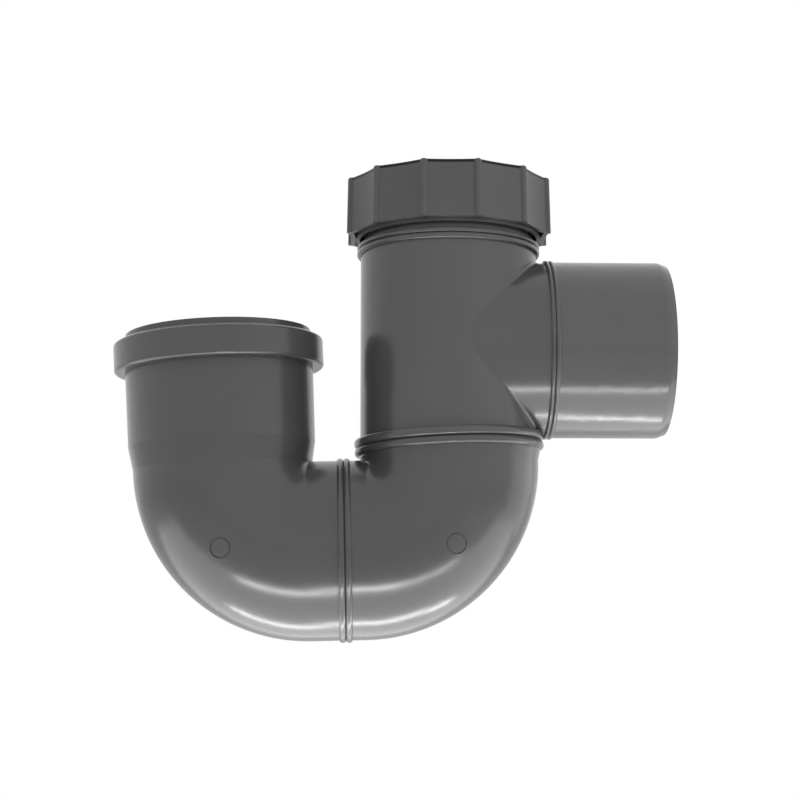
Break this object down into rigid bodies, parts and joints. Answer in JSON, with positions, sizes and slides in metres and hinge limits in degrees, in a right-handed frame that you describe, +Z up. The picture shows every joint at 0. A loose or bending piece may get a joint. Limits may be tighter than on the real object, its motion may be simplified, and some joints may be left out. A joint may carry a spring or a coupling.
{
  "type": "drain trap",
  "caption": "Grey plastic U-bend drain trap with a socketed inlet, a tee with a screwed cleaning cap on top, and a spigot outlet to the side.",
  "frame": {"origin": "centre of the outlet spigot at its weld bead, where a socket pushed over the spigot stops", "axes": "+X out along the outlet spigot, +Z up along the tee and the cleaning cap, +Y to the far side"},
  "size_m": [0.3425, 0.1296, 0.2879],
  "materials": {
    "pipe_plastic": "smooth moulded, soft gloss",
    "cap_plastic": "smooth moulded, soft gloss",
    "seal_rubber": "matt black rubber"
  },
  "bodies": {
    "trap": {"inlet_elbow": "pipe_plastic", "outlet_elbow": "pipe_plastic", "tee_body": "pipe_plastic", "threaded_neck": "pipe_plastic", "outlet_spigot": "pipe_plastic", "socket_seal": "seal_rubber"},
    "gasket": {"cap_gasket": "seal_rubber"},
    "cap": {"cleaning_cap": "cap_plastic"}
  },
  "joints": [
    {"name": "cap_lift", "type": "slide", "parent": "trap", "child": "gasket", "axis": [0, 0, 1], "range_m": [0, 0.012]},
    {"name": "cap_turn", "type": "hinge", "parent": "gasket", "child": "cap", "pos_m": [-0.0642, 0, 0.1], "axis": [0, 0, 1], "range_deg": [0, 720]}
  ],
  "couplings": [
    {"joint": "cap_lift", "follows": "cap_turn", "m_per_rad": 0.00095493}
  ]
}
